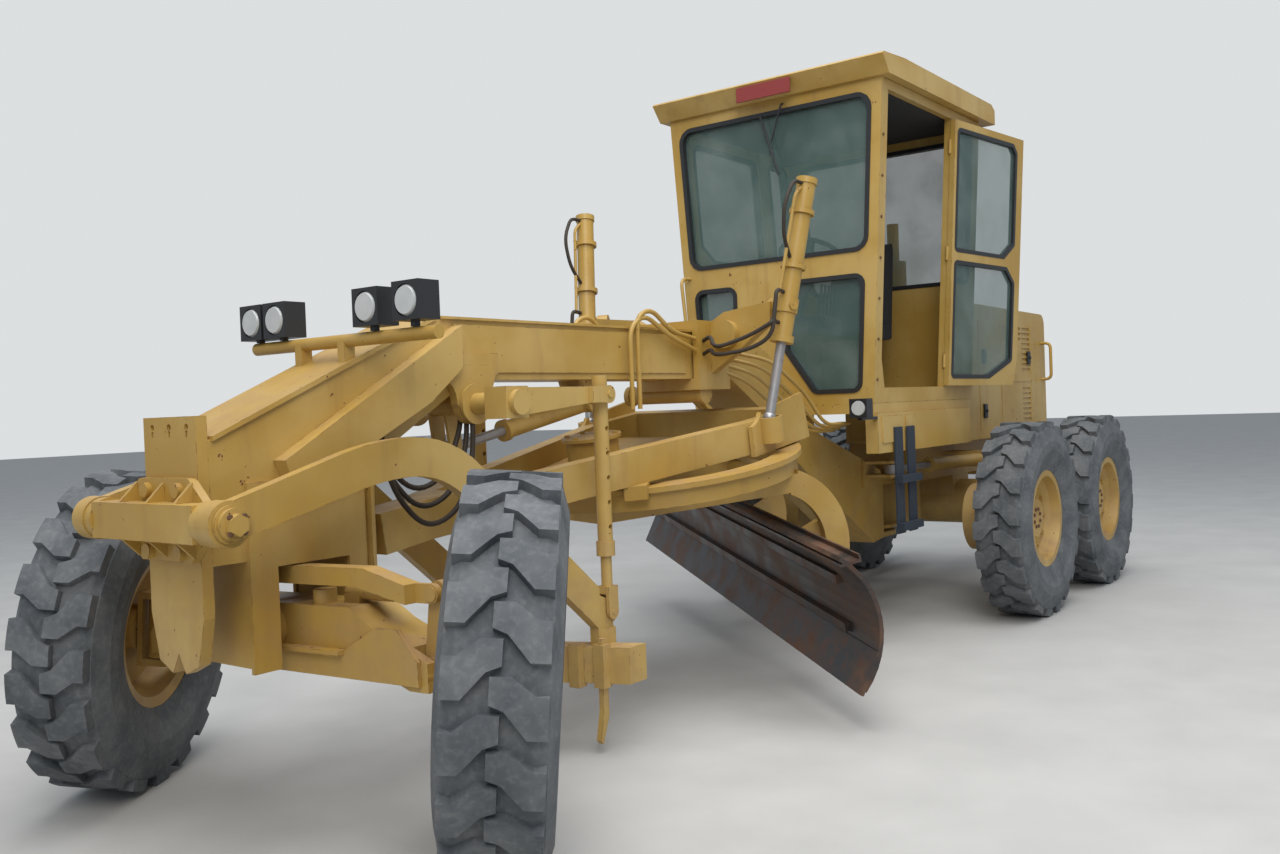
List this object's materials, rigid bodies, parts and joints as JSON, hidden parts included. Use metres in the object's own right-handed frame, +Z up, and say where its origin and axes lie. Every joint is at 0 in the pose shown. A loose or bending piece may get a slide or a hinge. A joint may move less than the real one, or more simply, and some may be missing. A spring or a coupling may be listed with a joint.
{
  "type": "motor grader",
  "caption": "Articulated motor grader with a side-shifted turning blade, a scarifier under its gooseneck, leaning steered front wheels, a boxy cab and tandem rear wheels.",
  "frame": {"origin": "on the ground, under the middle of the machine's length and on its centre plane", "axes": "+X forward, +Y to the machine's left, +Z up"},
  "size_m": [8.3239, 3.1571, 3.522],
  "materials": {
    "body_paint": "worn semi-gloss paint, dusty",
    "bare_steel": "worn steel with soil marks",
    "black_parts": "matt",
    "tyre_rubber": "dusty rubber",
    "cab_window": "tinted safety glass",
    "engine_iron": "dark casting",
    "strap_rubber": "worn rubber",
    "seat_fabric": "worn upholstery"
  },
  "bodies": {
    "front_unit": {"main_frame": "body_paint", "nose_mount": "body_paint", "work_lamps": "black_parts", "lift_saddle": "body_paint", "front_axle": "body_paint", "cab_floor": "body_paint", "cab_front": "body_paint", "cab_rear": "body_paint", "cab_sides": "body_paint", "cab_roof": "body_paint", "cab_glass": "cab_window", "operator_seat": "seat_fabric", "control_console": "black_parts", "cab_steps": "strap_rubber"},
    "rear_unit": {"rear_frame": "body_paint", "engine_hood": "body_paint", "radiator_grille": "black_parts", "engine_block": "engine_iron", "tandem_cases": "body_paint"},
    "wheel_front_left": {"tyre_front_left": "tyre_rubber", "rim_front_left": "body_paint"},
    "wheel_front_right": {"tyre_front_right": "tyre_rubber", "rim_front_right": "body_paint"},
    "wheel_mid_left": {"tyre_mid_left": "tyre_rubber", "rim_mid_left": "body_paint"},
    "wheel_mid_right": {"tyre_mid_right": "tyre_rubber", "rim_mid_right": "body_paint"},
    "wheel_rear_left": {"tyre_rear_left": "tyre_rubber", "rim_rear_left": "body_paint"},
    "wheel_rear_right": {"tyre_rear_right": "tyre_rubber", "rim_rear_right": "body_paint"},
    "lean_left": {"lean_left": "body_paint"},
    "lean_right": {"lean_right": "body_paint"},
    "lean_bar": {"lean_bar": "body_paint"},
    "knuckle_left": {"knuckle_left": "body_paint"},
    "knuckle_right": {"knuckle_right": "body_paint"},
    "tie_end": {"tie_end": "body_paint"},
    "tie_rod": {"tie_rod": "body_paint"},
    "drawbar": {"drawbar": "body_paint"},
    "blade_circle": {"blade_circle": "body_paint"},
    "blade_carrier": {"blade_carrier": "body_paint"},
    "moldboard": {"moldboard": "bare_steel"},
    "lift_barrel_left": {"lift_barrel_left": "body_paint"},
    "lift_rod_left": {"lift_rod_left": "bare_steel"},
    "lift_barrel_right": {"lift_barrel_right": "body_paint"},
    "lift_rod_right": {"lift_rod_right": "bare_steel"},
    "scarifier": {"scarifier": "body_paint"},
    "rock_shaft": {"rock_shaft": "body_paint"},
    "scarifier_links": {"scarifier_links": "body_paint"},
    "scarifier_barrel": {"scarifier_barrel": "body_paint"},
    "scarifier_rod": {"scarifier_rod": "bare_steel"},
    "articulation_barrel_left": {"articulation_barrel_left": "body_paint"},
    "articulation_rod_left": {"articulation_rod_left": "bare_steel"},
    "articulation_barrel_right": {"articulation_barrel_right": "body_paint"},
    "articulation_rod_right": {"articulation_rod_right": "bare_steel"},
    "door_left": {"door_left": "body_paint", "door_left_glass": "cab_window"},
    "door_right": {"door_right": "body_paint", "door_right_glass": "cab_window"}
  },
  "joints": [
    {"name": "articulation", "type": "hinge", "parent": "front_unit", "child": "rear_unit", "pos_m": [-1.425, 0, 0.9], "axis": [0, 0, 1], "range_deg": [-20, 20]},
    {"name": "articulation_barrel_left_turn", "type": "hinge", "parent": "rear_unit", "child": "articulation_barrel_left", "pos_m": [-2.275, 0.52, 1.03], "axis": [0, 0, 1], "range_deg": [-5.22, 5.22]},
    {"name": "articulation_rod_left_stroke", "type": "slide", "parent": "articulation_barrel_left", "child": "articulation_rod_left", "axis": [0.9883, -0.1527, 0], "range_m": [-0.13346, 0.13346]},
    {"name": "articulation_barrel_right_turn", "type": "hinge", "parent": "rear_unit", "child": "articulation_barrel_right", "pos_m": [-2.275, -0.52, 1.03], "axis": [0, 0, 1], "range_deg": [-5.22, 5.22]},
    {"name": "articulation_rod_right_stroke", "type": "slide", "parent": "articulation_barrel_right", "child": "articulation_rod_right", "axis": [0.9883, 0.1527, 0], "range_m": [-0.13346, 0.13346]},
    {"name": "wheel_lean_left", "type": "hinge", "parent": "front_unit", "child": "lean_left", "pos_m": [3.475, 0.8032, 0.66372], "axis": [-1, 0, 0], "range_deg": [-26, 10]},
    {"name": "wheel_lean_right", "type": "hinge", "parent": "front_unit", "child": "lean_right", "pos_m": [3.475, -0.7961, 0.61638], "axis": [-1, 0, 0], "range_deg": [-26, 10]},
    {"name": "lean_bar_turn", "type": "hinge", "parent": "lean_left", "child": "lean_bar", "pos_m": [3.475, 0.83285, 0.93209], "axis": [-1, 0, 0], "range_deg": [-10.01, 26.01]},
    {"name": "steer_left", "type": "hinge", "parent": "lean_left", "child": "knuckle_left", "pos_m": [3.475, 0.92467, 0.67042], "axis": [0, 0.1098, 0.994], "range_deg": [-78, 10]},
    {"name": "steer_right", "type": "hinge", "parent": "lean_right", "child": "knuckle_right", "pos_m": [3.475, -0.91318, 0.64944], "axis": [0, 0.1098, 0.994], "range_deg": [-78, 10]},
    {"name": "tie_end_turn", "type": "hinge", "parent": "knuckle_left", "child": "tie_end", "pos_m": [3.31365, 0.73502, 0.60284], "axis": [0, 0.1098, 0.994], "range_deg": [-10.51, 81.91]},
    {"name": "tie_rod_turn", "type": "hinge", "parent": "tie_end", "child": "tie_rod", "pos_m": [3.31365, 0.73502, 0.60284], "axis": [-1, 0, 0], "range_deg": [-9.2, 23.8]},
    {"name": "wheel_front_left_roll", "type": "hinge", "parent": "knuckle_left", "child": "wheel_front_left", "pos_m": [3.39786, 1.01663, 0.6657], "axis": [-0.6428, 0.7614, -0.0841], "continuous": true},
    {"name": "wheel_front_right_roll", "type": "hinge", "parent": "knuckle_right", "child": "wheel_front_right", "pos_m": [3.54123, -1.01205, 0.6658], "axis": [0.5519, -0.8288, 0.0916], "continuous": true},
    {"name": "wheel_mid_left_roll", "type": "hinge", "parent": "rear_unit", "child": "wheel_mid_left", "pos_m": [-1.715, 1.02, 0.655], "axis": [0, 1, 0], "continuous": true},
    {"name": "wheel_mid_right_roll", "type": "hinge", "parent": "rear_unit", "child": "wheel_mid_right", "pos_m": [-1.715, -1.02, 0.655], "axis": [0, 1, 0], "continuous": true},
    {"name": "wheel_rear_left_roll", "type": "hinge", "parent": "rear_unit", "child": "wheel_rear_left", "pos_m": [-3.235, 1.02, 0.655], "axis": [0, 1, 0], "continuous": true},
    {"name": "wheel_rear_right_roll", "type": "hinge", "parent": "rear_unit", "child": "wheel_rear_right", "pos_m": [-3.235, -1.02, 0.655], "axis": [0, 1, 0], "continuous": true},
    {"name": "door_left_swing", "type": "hinge", "parent": "front_unit", "child": "door_left", "pos_m": [-1.217, 0.69643, 2.37823], "axis": [0, 0.0627, 0.998], "range_deg": [-172, 0]},
    {"name": "door_right_swing", "type": "hinge", "parent": "front_unit", "child": "door_right", "pos_m": [-1.217, -0.69643, 2.37823], "axis": [0, -0.0627, 0.998], "range_deg": [-172, 0]},
    {"name": "drawbar_lift", "type": "hinge", "parent": "front_unit", "child": "drawbar", "pos_m": [3.175, 0, 1.088], "axis": [0, 1, 0], "range_deg": [-10, 1.5]},
    {"name": "lift_barrel_left_turn", "type": "hinge", "parent": "front_unit", "child": "lift_barrel_left", "pos_m": [0.8863, 0.6705, 2.0034], "axis": [0.4559, 0.8895, -0.0309], "range_deg": [-1.02, 6.83]},
    {"name": "lift_rod_left_stroke", "type": "slide", "parent": "lift_barrel_left", "child": "lift_rod_left", "axis": [0.1684, -0.1203, -0.9784], "range_m": [-0.05648, 0.376]},
    {"name": "lift_barrel_right_turn", "type": "hinge", "parent": "front_unit", "child": "lift_barrel_right", "pos_m": [0.8863, -0.6705, 2.0034], "axis": [-0.4559, 0.8895, 0.0309], "range_deg": [-1.02, 6.83]},
    {"name": "lift_rod_right_stroke", "type": "slide", "parent": "lift_barrel_right", "child": "lift_rod_right", "axis": [0.1684, 0.1203, -0.9784], "range_m": [-0.05648, 0.376]},
    {"name": "circle_turn", "type": "hinge", "parent": "drawbar", "child": "blade_circle", "pos_m": [1.14682, 0, 1.17108], "axis": [0.1392, 0, 0.9903], "range_deg": [0, 76]},
    {"name": "blade_tip", "type": "hinge", "parent": "blade_circle", "child": "blade_carrier", "pos_m": [0.50401, 0.42983, 0.49395], "axis": [0.6151, 0.7837, -0.0864], "range_deg": [-10, 20]},
    {"name": "blade_side_shift", "type": "slide", "parent": "blade_carrier", "child": "moldboard", "axis": [0.6151, 0.7837, -0.0864], "range_m": [-0.1, 0.6]},
    {"name": "scarifier_lift", "type": "hinge", "parent": "front_unit", "child": "scarifier", "pos_m": [3.995, 0, 1.19], "axis": [0, 1, 0], "range_deg": [-7, 2]},
    {"name": "rock_shaft_turn", "type": "hinge", "parent": "front_unit", "child": "rock_shaft", "pos_m": [2.69, 0, 1.548], "axis": [0, 1, 0], "range_deg": [-21.63, 6.18]},
    {"name": "scarifier_links_turn", "type": "hinge", "parent": "rock_shaft", "child": "scarifier_links", "pos_m": [2.095, 0, 1.572], "axis": [0, 1, 0], "range_deg": [-5.16, 18.06]},
    {"name": "scarifier_barrel_turn", "type": "hinge", "parent": "front_unit", "child": "scarifier_barrel", "pos_m": [1.759, 0, 1.535], "axis": [0, 1, 0], "range_deg": [-0.78, 0.22]},
    {"name": "scarifier_rod_stroke", "type": "slide", "parent": "scarifier_barrel", "child": "scarifier_rod", "axis": [0.9816, 0, -0.1911], "range_m": [-0.02025, 0.07062]}
  ],
  "couplings": [
    {"joint": "articulation_barrel_left_turn", "follows": "articulation", "ratio": -0.261},
    {"joint": "articulation_rod_left_stroke", "follows": "articulation", "m_per_rad": 0.38199},
    {"joint": "articulation_barrel_right_turn", "follows": "articulation", "ratio": -0.261},
    {"joint": "articulation_rod_right_stroke", "follows": "articulation", "m_per_rad": -0.38199},
    {"joint": "wheel_lean_right", "follows": "wheel_lean_left", "ratio": 1},
    {"joint": "lean_bar_turn", "follows": "wheel_lean_left", "ratio": -1},
    {"joint": "steer_right", "follows": "steer_left", "ratio": 1},
    {"joint": "tie_end_turn", "follows": "steer_left", "ratio": -1.05},
    {"joint": "tie_rod_turn", "follows": "wheel_lean_left", "ratio": -0.91},
    {"joint": "lift_barrel_left_turn", "follows": "drawbar_lift", "ratio": -0.683},
    {"joint": "lift_rod_left_stroke", "follows": "drawbar_lift", "m_per_rad": -2.1533},
    {"joint": "lift_barrel_right_turn", "follows": "drawbar_lift", "ratio": -0.683},
    {"joint": "lift_rod_right_stroke", "follows": "drawbar_lift", "m_per_rad": -2.1533},
    {"joint": "rock_shaft_turn", "follows": "scarifier_lift", "ratio": 3.09},
    {"joint": "scarifier_links_turn", "follows": "scarifier_lift", "ratio": -2.58},
    {"joint": "scarifier_barrel_turn", "follows": "scarifier_lift", "ratio": 0.111},
    {"joint": "scarifier_rod_stroke", "follows": "scarifier_lift", "m_per_rad": -0.57707}
  ]
}
